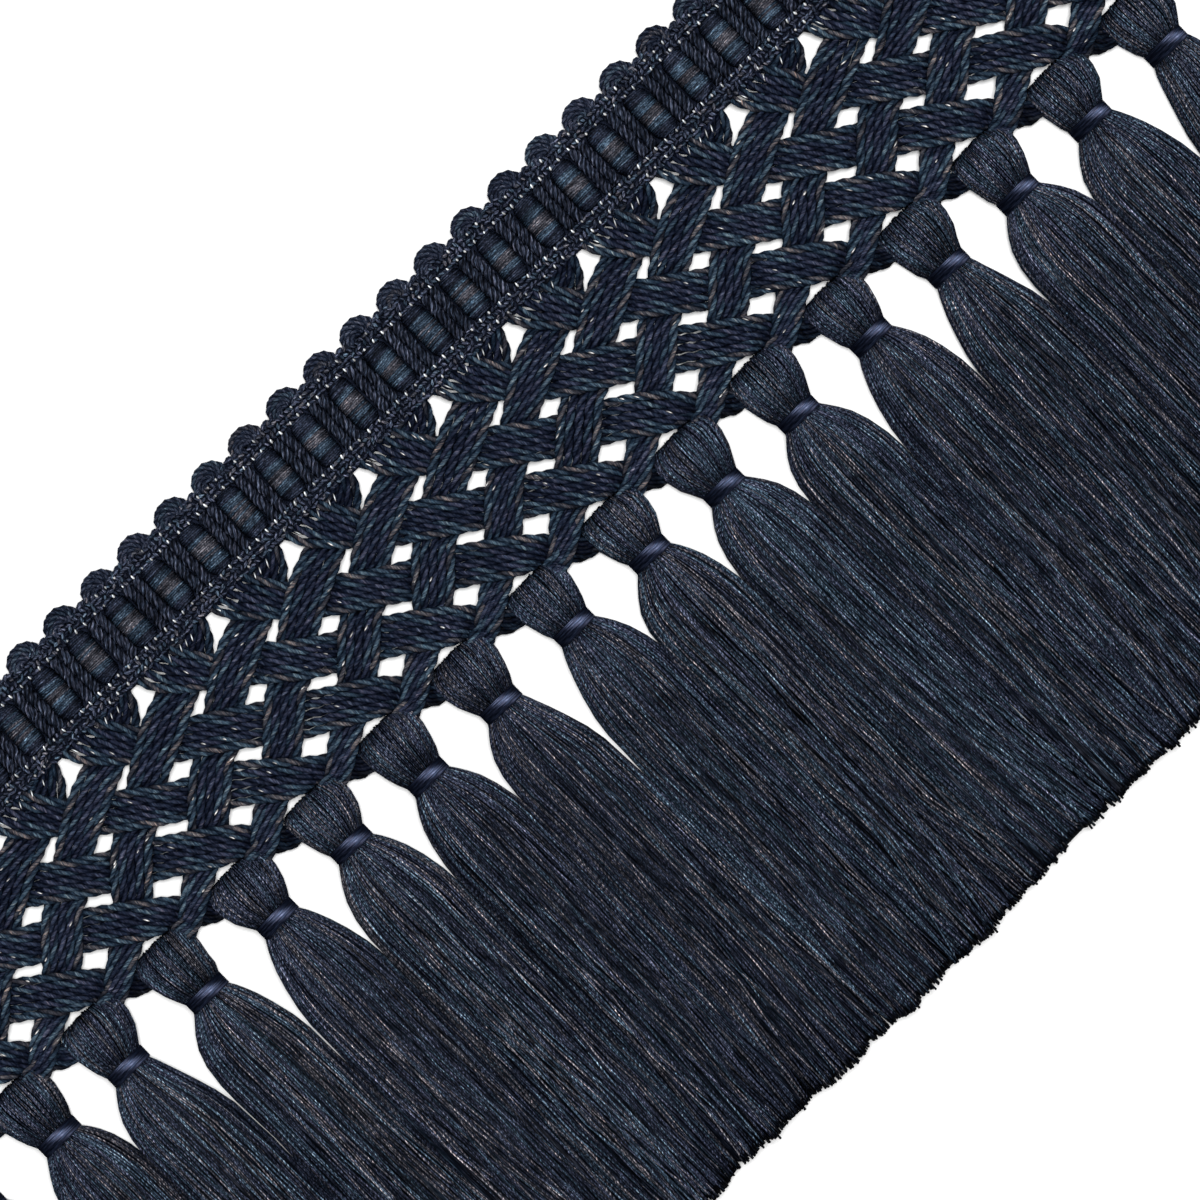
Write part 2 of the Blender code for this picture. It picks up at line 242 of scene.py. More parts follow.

# down a tassel's length, pairs of a drop and what it has there. The strands' tones are painted
# light and shade, light on the head and over the fan and dark at the neck under the tie; they also
# grow a little darker towards the cut end. The side shade is painted shade along the fan's edges,
# and the core's tones are painted shade inside the tassel
STRAND_SHADING = ((67, 1.22), (69.5, 0.49), (71.5, 0.27), (73.4, 0.28), (75, 0.79), (77, 1.24),
                (88, 1.22), (95, 1.0), (150, 0.96), (168, 0.83))
STRAND_THICKNESS = ((60, 1), (66, 1), (71, 0.9), (73.4, 0.75), (76, 0.9), (84, 1),
                    (130, 1.05), (168, 1.3))
STRAND_EVENNESS = ((60, 0.5), (72, 0.5), (78, 0.45), (92, 0.0))
SIDE_SHADE = ((76, 0), (86, 1), (110, 1), (140, 0))
CORE_SHADING = ((62, 0.6), (72, 0.4), (76, 0.8), (84, 1.5), (96, 1), (166, 1), (169.5, 0.3),
              (170, 0.1))
CORE_INSETS = ((95, 0.75), (112, 0.15))
PLAIN_SHARES = (0.36, 0.27, 0.24, 0.13)
BRIGHT_SHARES = (0.0, 0.1, 0.5, 0.4)

# fibres: how a slow patch is drawn out, where the other hues' pattern is taken, and their relief
PATCH_SCALE = (0.12, 0.5, 0.5)
MELANGE_SHIFT = (57.0, 31.0, 83.0)
FIBRE_HEIGHT = 0.35
COOL = (0.77, 1.02, 1.17, 1.0)
WARM = (1.09, 1.02, 1.02, 1.0)

# dark parts turn blue and bright parts warm: what gives 1 at a middle tone, and the two powers
MID_TONE = (6.1, 20.4, 2.1)
DARKEST = 0.02
WARM_CAST = 0.08
BLUE_CAST = -0.115

# stage, in metres
TABLE_WIDTH = 6.0
TABLE_GAP = 0.0002
LIGHT_PLACE = (0.12, 0.1, 1.3)
LIGHT_WIDTH = 0.8
LIGHT_POWER = 22
ROOM_LIGHT = 0.25
CAMERA_PLACE = (-0.0026, 0.0128)
CAMERA_TURN = math.radians(-44.4)


def seeded(name):
    """The random draws for one kind of piece, the same each time."""
    return np.random.default_rng(SEEDS[name])


def height_of(drop):
    """World Y of a drop."""
    return TOP - drop


def group_centre(index):
    """World X of a tassel and of the group of cords above it."""
    return (index - (TASSELS - 1) / 2) * PITCH


def rung_centre(index):
    """World X of a rung."""
    return (index - (RUNGS - 1) / 2) * RUNG_PITCH


def ramp(value, start, end):
    """How far a value has come from start to end, from 0 to 1."""
    return np.clip((value - start) / (end - start), 0, 1)


def read_off(value, pairs):
    """Look a value up in a table of pairs."""
    return np.interp(value, *zip(*pairs))


def arch(angle):
    """The places across and up of a flattened arch, for angles from 0 to a half turn."""
    return np.sign(np.cos(angle)) * np.abs(np.cos(angle)) ** 0.75, np.sin(angle) ** 0.75


# ---- sizes and colours

def length_property(name, description, default, low, high):
    """A length that the user can change, in millimetres here."""
    return bpy.props.FloatProperty(name=name, description=description, default=default * MM,
                                   min=low * MM, max=high * MM, unit="LENGTH", precision=5)


def colour_property(name, description, default):
    """A colour that the user can change."""
    return bpy.props.FloatVectorProperty(name=name, description=description, default=default,
                                         size=3, min=0.0, max=1.0, subtype="COLOR")


class TRIM_PG_sizes(bpy.types.PropertyGroup):
    """Sizes of the yarns."""

    ply_radius: length_property(
        "Ply radius", "Half the thickness of one ply of a netting cord", 0.455, 0.2, 1)
    cord_pitch: length_property(
        "Cord twist", "Length of one full turn of a netting cord's plies", 8.4, 2, 20)
    cord_step: length_property(
        "Cord step", "Distance between two rings of a netting ply's mesh", 1.15, 0.3, 3)
    strand_radius: length_property(
        "Strand radius", "Half the thickness of a tassel's yarn", 0.215, 0.1, 0.6)
    strands: bpy.props.IntProperty(
        name="Strands", description="Yarns laid over one tassel", default=122, min=20, max=170)
    ragged: length_property(
        "Ragged ends", "Most that a tassel's yarn is cut short", 0.7, 0, 5)
    stitch_radius: length_property(
        "Stitch radius", "Half the thickness of a heading stitch", 0.36, 0.1, 0.8)
    camera_height: length_property(
        "Camera height", "Height of the camera above the table", 644, 100, 5000)


class TRIM_PG_colours(bpy.types.PropertyGroup):
    """Colours of the yarns."""

    navy: colour_property("Navy", "Main dark yarn", (0.0165, 0.0197, 0.0345))
    indigo: colour_property("Indigo", "Dark yarn with a violet cast", (0.0270, 0.0285, 0.0500))
    teal: colour_property("Teal", "Blue-green yarn", (0.0385, 0.0630, 0.0930))
    taupe: colour_property("Taupe", "Grey-brown yarn", (0.0780, 0.0700, 0.0800))
    satin: colour_property("Tie", "Thread of the ties", (0.0138, 0.0158, 0.0270))
    pale: colour_property("Catch thread", "Pale thread of the catch stitches", (0.80, 0.74, 0.70))
    table: colour_property("Table", "Surface that the trim lies on", (0.90, 0.90, 0.90))


def size(name):
    """A size that the user can change, in millimetres."""
    return getattr(bpy.context.scene.trim_sizes, name) / MM


def yarn_colour(name):
    """A yarn's colour by its name, as an array."""
    return np.array(getattr(bpy.context.scene.trim_colours, name))


def mingled(name, share):
    """A colour with only that share of a yarn's own, and the rest the mean of the trim's yarns."""
    mean = sum(yarn_colour(each) for each in YARNS) / 4
    return yarn_colour(name) * share + mean * (1 - share)


def add_object(name, data, place=(0, 0, 0)):
    """An object with its data, put in the scene."""
    item = bpy.data.objects.new(name, data)
    item.location = place
    bpy.context.scene.collection.objects.link(item)
    return item


# ---- yarn meshes

def steps_along(points):
    """How far along a path each of its points lies."""
    return np.concatenate([[0.0], np.cumsum(np.linalg.norm(np.diff(points, axis=0), axis=1))])


def resample(points, spacing):
    """Even out a path to steps of about one length."""
    points = np.asarray(points, float)
    run = steps_along(points)
    at = np.linspace(0.0, run[-1], max(2, int(round(run[-1] / spacing)) + 1))
    return np.column_stack([np.interp(at, run, column) for column in points.T])


def soften(points, spacing, reach):
    """Round the corners of an even path with a bell-shaped average that keeps its ends."""
    half = min(int(3 * reach / spacing), len(points) - 1)
    offsets = np.arange(-half, half + 1) * spacing
    weights = np.exp(-0.5 * (offsets / reach) ** 2)
    weights /= weights.sum()
    before = 2 * points[0] - points[half:0:-1]
    after = 2 * points[-1] - points[-2:-half - 2:-1]
    padded = np.concatenate([before, points, after])
    return np.column_stack([np.convolve(column, weights, mode="valid") for column in padded.T])


def path_frame(path, up):
    """Along a path: the way across it and the way up from it."""
    along = np.gradient(path, axis=0)
    along /= np.linalg.norm(along, axis=1, keepdims=True)
    across = np.cross(along, np.broadcast_to(up, path.shape))
    across /= np.linalg.norm(across, axis=1, keepdims=True)
    return across, np.cross(across, along)


class YarnMesh:
    """Gathers yarns, each a closed tube swept along a path, into one mesh."""

    def __init__(self):
        self.points = []
        self.colours = []
        self.runs = []
        self.corners = []
        self.sizes = []
        self.total = 0

    def add_rings(self, rings, colours, runs, joined=False):
        """Add a tube from an array of rings: closed at both ends, or joined end to end."""
        count, sides = rings.shape[:2]
        index = self.total + np.arange(count * sides).reshape(count, sides)
        here = index if joined else index[:-1]
        there = np.roll(index, -1, axis=0) if joined else index[1:]
        quads = np.stack([here, there, np.roll(there, -1, axis=1), np.roll(here, -1, axis=1)],
                         axis=-1)
        self.corners.append(quads.ravel())
        self.sizes.append(np.full(quads.size // 4, 4))
        if not joined:
            self.corners += [index[0], index[-1][::-1]]
            self.sizes.append(np.array([sides, sides]))
        self.points.append(rings.reshape(-1, 3))
        self.colours.append(np.broadcast_to(colours, rings.shape).reshape(-1, 3))
        self.runs.append(runs.reshape(-1, 3))
        self.total += count * sides

    def sweep(self, path, radius, colour, sides=5, lobes=0, depth=0.0, pitch=0.0, flat=1.0,
              up=(0.0, 0.0, 1.0), start=0.0, painted_shade=0.85):
        """Add a yarn. Its first side faces up; with a pitch its sides wind round it in a Z twist.

        Lobes are its plies, as deep as given. Its colour carries painted shade between plies or,
        without lobes, on its underside; the last argument says how dark.
        """
        path = np.asarray(path, float)
        across, lift = path_frame(path, up)
        run = steps_along(path)
        side = 2 * np.pi * np.arange(sides) / sides
        wound = 2 * np.pi * run[:, None] / pitch if pitch else np.zeros((len(path), 1))
        turn = side + np.pi / 2 - wound
        reach = np.broadcast_to(radius, len(path))[:, None] * (1 + depth * np.cos(lobes * side))
        rings = (path[:, None] + across[:, None] * (reach * np.cos(turn))[..., None]
                 + lift[:, None] * (flat * reach * np.sin(turn))[..., None])
        runs = np.empty_like(rings)
        runs[..., 0] = run[:, None] + start
        runs[..., 1] = reach * np.cos(side)
        runs[..., 2] = reach * np.sin(side)
        colours = np.asarray(colour, float)
        if colours.ndim == 2:
            colours = colours[:, None]
        # painted shade: colour darkened between plies, or on the underside of a yarn without lobes
        ridge = (0.5 + 0.5 * np.cos(max(lobes, 1) * side)) ** 1.3
        shade = np.clip(1 - painted_shade * (1 - ridge), 0, 1)
        self.add_rings(rings, colours * shade[:, None], runs)

    def build(self, name, finish, slot, *nodes):
        """Make the piece, with its yarns' colours and runs as attributes.

        It rides with the trim, takes its finish by name and stands for its solids. The slot is not
        used.
        """
        points = np.concatenate(self.points) * MM
        corners = np.concatenate(self.corners)
        # each tube's faces are its quads and then its two caps
        corner_counts = np.concatenate(self.sizes)
        starts = np.concatenate([[0], np.cumsum(corner_counts)[:-1]])
        mesh = bpy.data.meshes.new(name)
        mesh.vertices.add(len(points))
        mesh.vertices.foreach_set("co", points.astype(np.float32).ravel())
        mesh.loops.add(len(corners))
        mesh.loops.foreach_set("vertex_index", corners.astype(np.int32))
        mesh.polygons.add(len(starts))
        mesh.polygons.foreach_set("loop_start", starts.astype(np.int32))
        mesh.update(calc_edges=True)
        mesh.validate()
        mesh.shade_smooth()
        colours = np.column_stack([np.concatenate(self.colours), np.ones(len(points))])
        colour = mesh.attributes.new("yarn_colour", "FLOAT_COLOR", "POINT")
        colour.data.foreach_set("color", colours.astype(np.float32).ravel())
        run = mesh.attributes.new("yarn_run", "FLOAT_VECTOR", "POINT")
        run.data.foreach_set("vector", np.concatenate(self.runs).astype(np.float32).ravel())
        mesh.materials.append(yarn_material(finish))
        piece = add_object(name, mesh)
        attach(piece, BODY)
        if nodes:
            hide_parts(*nodes)
        return piece


# ---- materials

def add_node(tree, kind, inputs=None, **settings):
    """Add a node, set its fields, and set or link its inputs."""
    node = tree.nodes.new(kind)
    for field, value in settings.items():
        setattr(node, field, value)
    for key, value in (inputs or {}).items():
        if isinstance(value, bpy.types.NodeSocket):
            tree.links.new(value, node.inputs[key])
        else:
            node.inputs[key].default_value = value
    return node


class Nodes:
    """Adds nodes to a tree and hands back the sockets that they give."""

    def __init__(self, tree):
        self.tree = tree

    def attribute(self, name):
        return add_node(self.tree, "ShaderNodeAttribute", attribute_name=name)

    def math(self, operation, *values):
        inputs = dict(enumerate(values))
        return add_node(self.tree, "ShaderNodeMath", inputs, operation=operation).outputs[0]

    def vector(self, operation, first, second):
        """A Vector Math node's result; a dot product gives a value, and the rest a vector."""
        inputs = {0: first, ("Scale" if operation == "SCALE" else 1): second}
        node = add_node(self.tree, "ShaderNodeVectorMath", inputs, operation=operation)
        return node.outputs["Value" if operation == "DOT_PRODUCT" else "Vector"]

    def combine(self, x, y, z):
        return add_node(self.tree, "ShaderNodeCombineXYZ", {0: x, 1: y, 2: z}).outputs[0]

    def noise(self, scale, detail, place=None, roughness=0.5):
        inputs = {"Scale": scale, "Detail": detail, "Roughness": roughness}
        if place is not None:
            inputs["Vector"] = place
        return add_node(self.tree, "ShaderNodeTexNoise", inputs).outputs[0]

    def remap(self, value, low, high, start=0.0, end=1.0):
        """A value from start to end taken to a range."""
        inputs = {0: value, 1: start, 2: end, 3: low, 4: high}
        return add_node(self.tree, "ShaderNodeMapRange", inputs).outputs[0]

    def spread(self, value):
        """A noise's middle values spread out over the range from 0 to 1."""
        return self.remap(value, 0.0, 1.0, 0.3, 0.7)

    def mix(self, share, first, second):
        inputs = {0: share, 6: first, 7: second}
        return add_node(self.tree, "ShaderNodeMix", inputs, data_type="RGBA").outputs[2]


def new_group(name, inputs, outputs):
    """A shader node group with named float inputs and outputs. Returns its tree, ins and outs."""
    tree = bpy.data.node_groups.new(name, "ShaderNodeTree")
    kind = "NodeSocketFloat"
    for label, default in inputs.items():
        socket = tree.interface.new_socket(label, in_out="INPUT", socket_type=kind)
        socket.default_value = default
    for label in outputs:
        tree.interface.new_socket(label, in_out="OUTPUT", socket_type=kind)
    return tree, tree.nodes.new("NodeGroupInput").outputs, tree.nodes.new("NodeGroupOutput").inputs


def yarn_surface_group():
    """Plies and fibres of a spun yarn, from the place along it and round it.

    Crest is 1 on a ply and 0 in the groove between two, Fibre is a streaky tone and Height is
    both. Patch is a tone that changes slowly along the yarn, and Melange mixes in another hue.
    """
    found = bpy.data.node_groups.get("Yarn Surface")
    if found:
        return found
    tree, given, made = new_group(
        "Yarn Surface",
        {"Plies": 2.0, "Turns per mm": 0.5, "Fibre Length": 1.5, "Fibre Width": 0.12},
        ("Crest", "Fibre", "Height", "Patch", "Melange"))
    nodes = Nodes(tree)
    place = nodes.attribute("yarn_run").outputs["Vector"]
    run, outward, sideways = add_node(tree, "ShaderNodeSeparateXYZ", {0: place}).outputs
    angle = nodes.math("ARCTAN2", sideways, outward)
    turns = nodes.math("MULTIPLY", given["Turns per mm"], 2 * math.pi)
    turned = nodes.math("ADD", angle, nodes.math("MULTIPLY", run, turns))
    phase = nodes.math("MULTIPLY", turned, given["Plies"])
    crest = nodes.math("MULTIPLY_ADD", nodes.math("COSINE", phase), 0.5, 0.5)
    squares = nodes.math("ADD", nodes.math("MULTIPLY", outward, outward),
                         nodes.math("MULTIPLY", sideways, sideways))
    reach = nodes.math("DIVIDE", nodes.math("SQRT", squares), given["Fibre Width"])
    streaks = nodes.combine(nodes.math("DIVIDE", run, given["Fibre Length"]),
                            nodes.math("MULTIPLY", nodes.math("COSINE", turned), reach),
                            nodes.math("MULTIPLY", nodes.math("SINE", turned), reach))
    fibre = nodes.spread(nodes.noise(1.0, 2.0, streaks, 0.6))
    slow = nodes.vector("MULTIPLY", streaks, PATCH_SCALE)
    elsewhere = nodes.vector("ADD", streaks, MELANGE_SHIFT)
    values = {"Crest": crest, "Fibre": fibre,
              "Height": nodes.math("MULTIPLY_ADD", fibre, FIBRE_HEIGHT, crest),
              "Patch": nodes.spread(nodes.noise(1.0, 1.0, slow)),
              "Melange": nodes.spread(nodes.noise(0.9, 1.0, elsewhere))}
    for label, value in values.items():
        tree.links.new(value, made[label])
    return tree


# a yarn's finish: plies seen on its surface and how they wind, how dark the painted shade in a
# groove is, the size of its fibres, how strongly they vary the tone, its roughness, the depth of
# the relief, specular level, how strongly the tone changes along it, and how far dark turns blue
# and bright turns warm
Finish = namedtuple("Finish", "plies turns groove fibre_length fibre_width contrast "
                              "roughness relief specular patch cast", defaults=(2.1, 0.6))
FINISHES = {
    "heading_yarn": Finish(2, 0.45, 0.5, 0.6, 0.22, 4.5, 0.7, 0.10, 0.03),
    "rung_winding": Finish(2, 0.0, 1.0, 0.7, 0.2, 4.5, 0.6, 0.05, 0.03),
    "heading_cord": Finish(4, 0.0, 0.9, 0.7, 0.25, 5.0, 0.65, 0.12, 0.03),
    "net_cord": Finish(2, 0.3, 0.8, 1.0, 0.25, 3.2, 0.6, 0.08, 0.04, cast=1.5),
    "tassel_strand": Finish(2, 0.9, 0.72, 0.68, 0.25, 7.0, 0.6, 0.05, 0.03, patch=2.8, cast=0.65),
    "inner_yarn": Finish(2, 0.0, 1.0, 3.0, 0.22, 7.0, 0.7, 0.05, 0.02),
    "tie_satin": Finish(1, 0.0, 1.0, 2.5, 0.14, 3.0, 0.4, 0.03, 0.0),
    "catch_thread": Finish(2, 0.6, 0.9, 0.6, 0.25, 1.3, 0.5, 0.03, 0.1, cast=0.0),
}


def principled_material(name, **constants):
    """A new material and its Principled shader, with constants on the shader's own sockets."""
    material = bpy.data.materials.new(name)
    material.use_nodes = True
    shader = material.node_tree.nodes["Principled BSDF"]
    for label, value in constants.items():
        shader.inputs[label.replace("_", " ")].default_value = value
    return material, shader


def yarn_material(name):
    """The material of one finish, made once."""
    found = bpy.data.materials.get(name)
    if found:
        return found
    finish = FINISHES[name]
    material, shader = principled_material(name, Metallic=0.0, Specular_IOR_Level=finish.specular)
    tree = material.node_tree
    nodes = Nodes(tree)
    surface = add_node(tree, "ShaderNodeGroup",
                       {"Plies": finish.plies, "Turns per mm": finish.turns,
                        "Fibre Length": finish.fibre_length, "Fibre Width": finish.fibre_width},
                       node_tree=yarn_surface_group()).outputs
    # painted shade: colour darker in the grooves between the plies drawn on the surface
    groove = nodes.remap(surface["Crest"], finish.groove, 1.0)
    tone = nodes.math("POWER", finish.contrast, nodes.remap(surface["Fibre"], -1.0, 1.0))
    patch = nodes.math("POWER", finish.patch, nodes.remap(surface["Patch"], -1.0, 1.0))
    shade = nodes.math("MULTIPLY", nodes.math("MULTIPLY", groove, tone), patch)
    colour = nodes.attribute("yarn_colour").outputs["Color"]
    hue = nodes.mix(surface["Melange"], COOL, WARM)
    tinted = nodes.vector("SCALE", nodes.vector("MULTIPLY", colour, hue), shade)
    light = nodes.math("MAXIMUM", nodes.vector("DOT_PRODUCT", tinted, MID_TONE), DARKEST)
    cast = nodes.combine(nodes.math("POWER", light, WARM_CAST * finish.cast), 1.0,
                         nodes.math("POWER", light, BLUE_CAST * finish.cast))
    relief = add_node(tree, "ShaderNodeBump", {"Strength": 0.6, "Distance": finish.relief * MM,
                                               "Height": surface["Height"]})
    values = {"Base Color": nodes.vector("MULTIPLY", tinted, cast),
              "Roughness": nodes.remap(surface["Fibre"], finish.roughness + 0.1,
                                       finish.roughness - 0.1),
              "Normal": relief.outputs["Normal"]}
    for label, value in values.items():
        tree.links.new(value, shader.inputs[label])
    return material


# ---- heading

def tape_edge(x):
    """Drop of the heading's upper edge at a place along it: low between two scallops."""
    away = abs((x / RUNG_PITCH + 0.5) % 1.0 - 0.5) * RUNG_PITCH
    return 3.4 - 2.6 * np.sqrt(np.clip(1 - (away / 3.6) ** 2, 0, 1))


def make_tape():
    """The thin woven tape that the heading's yarns are worked on."""
    mesh = YarnMesh()
    columns = np.linspace(-TAPE_HALF, TAPE_HALF, 285)[:, None]
    rows = np.linspace(0.0, 1.0, 12)
    edge = tape_edge(columns)
    drops = edge + (TAPE_FOOT - edge) * rows
    lift = 0.06 * np.cos(np.pi * (np.arange(len(columns))[:, None] + np.arange(len(rows))))
    top = np.dstack([np.broadcast_to(columns, drops.shape), height_of(drops), TAPE_TOP + lift])
    under = top[:, ::-1].copy()
    under[..., 2] = TAPE_UNDER
    rings = np.concatenate([top, under], axis=1)
    mesh.add_rings(rings, yarn_colour("navy") * 0.45, rings)
    return mesh.build("heading_tape", "heading_yarn", "woven_heading", "heading")


def make_stitches():
    """Rows of small looped stitches along both edges of the heading."""
    rng = seeded("stitches")
    mesh = YarnMesh()
    shape = np.linspace(-1, 1, 4)
    radius = size("stitch_radius") * (1.05 - 0.35 * shape ** 2)
    for row in STITCH_ROWS:
        count = int(2 * TAPE_HALF / row.pitch)
        for index in range(count):
            x = (index + 0.5 - count / 2) * row.pitch + rng.uniform(-0.2, 0.2)
            drop = row.drop + rng.uniform(-0.18, 0.18)
            slant = math.radians(row.slant + rng.uniform(-42, 42))
            half = rng.uniform(0.42, 0.78)
            height = row.height + 0.55 * np.cos(shape * 1.5) + rng.uniform(-0.1, 0.1)
            path = np.column_stack([x + half * shape * math.cos(slant),
                                    height_of(drop) + half * shape * math.sin(slant), height])
            name = rng.choice(YARNS, p=[0.38, 0.34, 0.16, 0.12])
            colour = mingled(name, 0.5) * rng.uniform(0.7, 2.1)
            mesh.sweep(path, radius, colour, sides=4, start=rng.uniform(0, 50))
    return mesh.build("heading_stitches", "heading_yarn", "woven_heading")


def rung_colour(share, rng):
    """Colour of a rung's thread at its share of the rung's length, in bands that aren't sharp."""
    place = share + rng.normal(0, 0.04)
    name = next(name for limit, name in RUNG_BANDS if place < limit)
    return mingled(name, 0.7) * RUNG_TONE[name] * rng.uniform(0.5, 1.5)


def make_rungs():
    """The raised bars of the heading, each wound crosswise with fine thread."""
    rng = seeded("rungs")
    mesh = YarnMesh()
    steps = 2 * RUNG_THREADS + 1
    share = np.linspace(0, 1, steps)
    rounding = np.clip(1 - np.abs(2 * share - 1) ** 12, 0.6, 1) ** 0.5
    side = 2 * np.pi * np.arange(RUNG_SIDES) / RUNG_SIDES + np.pi / 2
    # painted light and shade: a rung's top lighter and its sides dark
    lit = 0.03 + 0.97 * np.clip(np.sin(side), 0, 1) ** 2.2
    for index in range(RUNGS):
        x = rung_centre(index) + rng.uniform(-0.12, 0.12)
        drop = RUNG_DROP + rng.uniform(-0.15, 0.15)
        half_width = RUNG_HALF_WIDTH + rng.uniform(-0.08, 0.08)
        ridges = np.where(np.arange(steps) % 2, 1.0, 0.94) + rng.uniform(-0.02, 0.02, steps)
        reach = (half_width * ridges * rounding)[:, None]
        bend = 0.12 * np.sin(share * 3 + index)[:, None]
        tilt = np.interp(share, np.linspace(0, 1, 7), rng.normal(0.0, 0.16, 7))[:, None]
        place = height_of(drop + (share[:, None] - 0.5) * RUNG_LENGTH)
        rings = np.empty((steps, RUNG_SIDES, 3))
        rings[..., 0] = x + bend + reach * np.cos(side)
        rings[..., 1] = place + tilt * np.cos(side)
        rings[..., 2] = 1.75 + 0.57 * reach * np.sin(side)
        runs = np.empty_like(rings)
        runs[..., 0] = side * half_width + rng.uniform(0, 80)
        runs[..., 1] = share[:, None] * RUNG_LENGTH
        runs[..., 2] = rng.uniform(0, 50)
        colours = np.empty_like(rings)
        for step in range(steps):
            if step % 2 == 0:
                thread = rung_colour(step / steps, rng)
            # painted shade in the valleys between the threads, with lighter crests; the rest is
            # random tone
            tone = lit * rng.uniform(0.6, 1.4, RUNG_SIDES)
            colours[step] = thread * (1.3 if step % 2 else 0.3) * tone[:, None]
        mesh.add_rings(rings, colours, runs)
    return mesh.build("heading_rungs", "rung_winding", "woven_heading")


def make_columns():
    """Two thick twisted cords between each pair of rungs."""
    rng = seeded("columns")
    mesh = YarnMesh()
    limit = TAPE_HALF - COLUMN_MARGIN
    for index in range(RUNGS + 1):
        middle = np.clip(rung_centre(index) - RUNG_PITCH / 2, -limit, limit)
        for side in (-1, 1):
            drops = np.arange(*COLUMN_DROPS, 0.6)
            sway = 0.12 * np.sin(drops * 1.3 + rng.uniform(0, 6))
            path = np.column_stack([middle + side * COLUMN_OFFSET + sway, height_of(drops),
                                    1.6 + 0.15 * np.sin(drops * 1.9 + rng.uniform(0, 6))])
            colour = mingled(rng.choice(["navy", "indigo"]), 0.35)
            tones = colour * rng.uniform(0.25, 1.35, len(drops))[:, None]
            mesh.sweep(path, COLUMN_RADIUS, tones, sides=10, lobes=5, depth=0.16, pitch=6.2,
                       start=rng.uniform(0, 50), painted_shade=0.98)
    return mesh.build("heading_columns", "heading_cord", "woven_heading")


def make_scallops():
    """The corded scallops: nested arcs over each rung, and a small loop between two."""
    rng = seeded("scallops")
    mesh = YarnMesh()
    for index in range(RUNGS):
        x = rung_centre(index) + rng.uniform(-0.15, 0.15)
        for arc in SCALLOP_ARCS:
            angle = np.radians(np.linspace(-28, 208, max(8, int(5.2 * arc.half_width))))
            height = arc.height + 0.12 * np.sin(3 * angle + rng.uniform(0, 6))
            path = np.column_stack([x + arc.half_width * np.cos(angle),
                                    height_of(SCALLOP_DROP) + arc.rise * np.sin(angle), height])
            path[:, 1] = np.minimum(path[:, 1], TOP - arc.radius * 0.95)
            colour = mingled(rng.choice(YARNS, p=[0.4, 0.3, 0.2, 0.1]), 0.5)
            mesh.sweep(path, arc.radius, colour * rng.uniform(0.65, 1.25), sides=6, lobes=3,
                       depth=0.2, pitch=4.6, start=rng.uniform(0, 50), painted_shade=0.97)
    for index in range(RUNGS - 1):
        x = rung_centre(index) + RUNG_PITCH / 2
        angle = np.radians(np.linspace(0, 180, 7))
        path = np.column_stack([x + 0.8 * np.cos(angle),
                                height_of(LOOP_DROP) + 0.75 * np.sin(angle), np.full(7, 1.1)])
        mesh.sweep(path, 0.5, mingled("navy", 0.6) * rng.uniform(0.8, 1.5), sides=6, lobes=3,
                   depth=0.2, pitch=4.0)
    return mesh.build("heading_scallops", "net_cord", "woven_heading")


# ---- netting

def run_keys(run, group_x, cord):
    """Key points of a cord along a run, up from the band that it crosses and down again."""
    share = CORD_INSET + (1 - 2 * CORD_INSET) * cord / (CORDS - 1)
    first, last = (resample(edge, math.dist(edge[0], edge[-1]) / RUN_PARTS)[:RUN_PARTS + 1]
                   for edge in (run.first_edge, run.last_edge))
    middle = first + (last - first) * share
    keys = []
    for part in (0, 1, 2, 4, 6, 8, 10, 11, 12):
        x, drop = middle[min(part, len(middle) - 1)]
        rise = min(1.0, (min(part, RUN_PARTS - part) / 3.2) ** 0.7) if run.over else 0.1
        if run.row == 0 and part < 6:
            rise = 0.75 if run.over else 0.25
        keys.append((group_x + x, drop, LOW + (HIGH - LOW) * rise))
    return keys


def end_keys(way, tassel_x, cord):
    """Key points of a cord as it gathers into its tassel's head."""
    nest = cord - (CORDS - 1) / 2
    return [(tassel_x + across, drop + nest * apart, height + lifted * (cord % 2))
            for across, drop, apart, height, lifted in GATHERS[way]]


def fold_keys(way, before, after):
    """Key points of a cord where its band folds back at the end of the trim."""
    low, high = (LOW, HIGH) if way > 0 else (HIGH, LOW)
    drop = (before[1] + after[1]) / 2
    side = way * FOLD_X
    return [(side - way * 1.8, drop * 0.7 + before[1] * 0.3, low),
            (side, drop, (low + high) / 2),
            (side - way * 1.8, drop * 0.7 + after[1] * 0.3, high)]


def cord_keys(way, group, cord):
    """Key points of one cord from the heading to its tassel, folded back where the trim ends."""
    limit = FOLD_X - 1.5
    keys = []
    for row in range(ROWS):
        for run in (run for run in BANDS[way] if run.row == row):
            keys += [key for key in run_keys(run, group_centre(group), cord) if abs(key[0]) < limit]
        middle = group_centre(group) + way * row * PITCH / 2
        if row in FOLD_ROWS and abs(middle) > NET_HALF - 3:
            beyond = group + way * row
            mirrored = CORDS - 1 - cord
            after = []
            for run in (run for run in BANDS[-way] if run.row >= row):
                after += run_keys(run, group_centre(beyond), mirrored)
            after = [key for key in after if abs(key[0]) < limit]
            after += end_keys(-way, group_centre(beyond - way * 3), mirrored)
            return keys + fold_keys(way, keys[-1], after[0]) + after
    return keys + end_keys(way, group_centre(group + way * 3), cord)


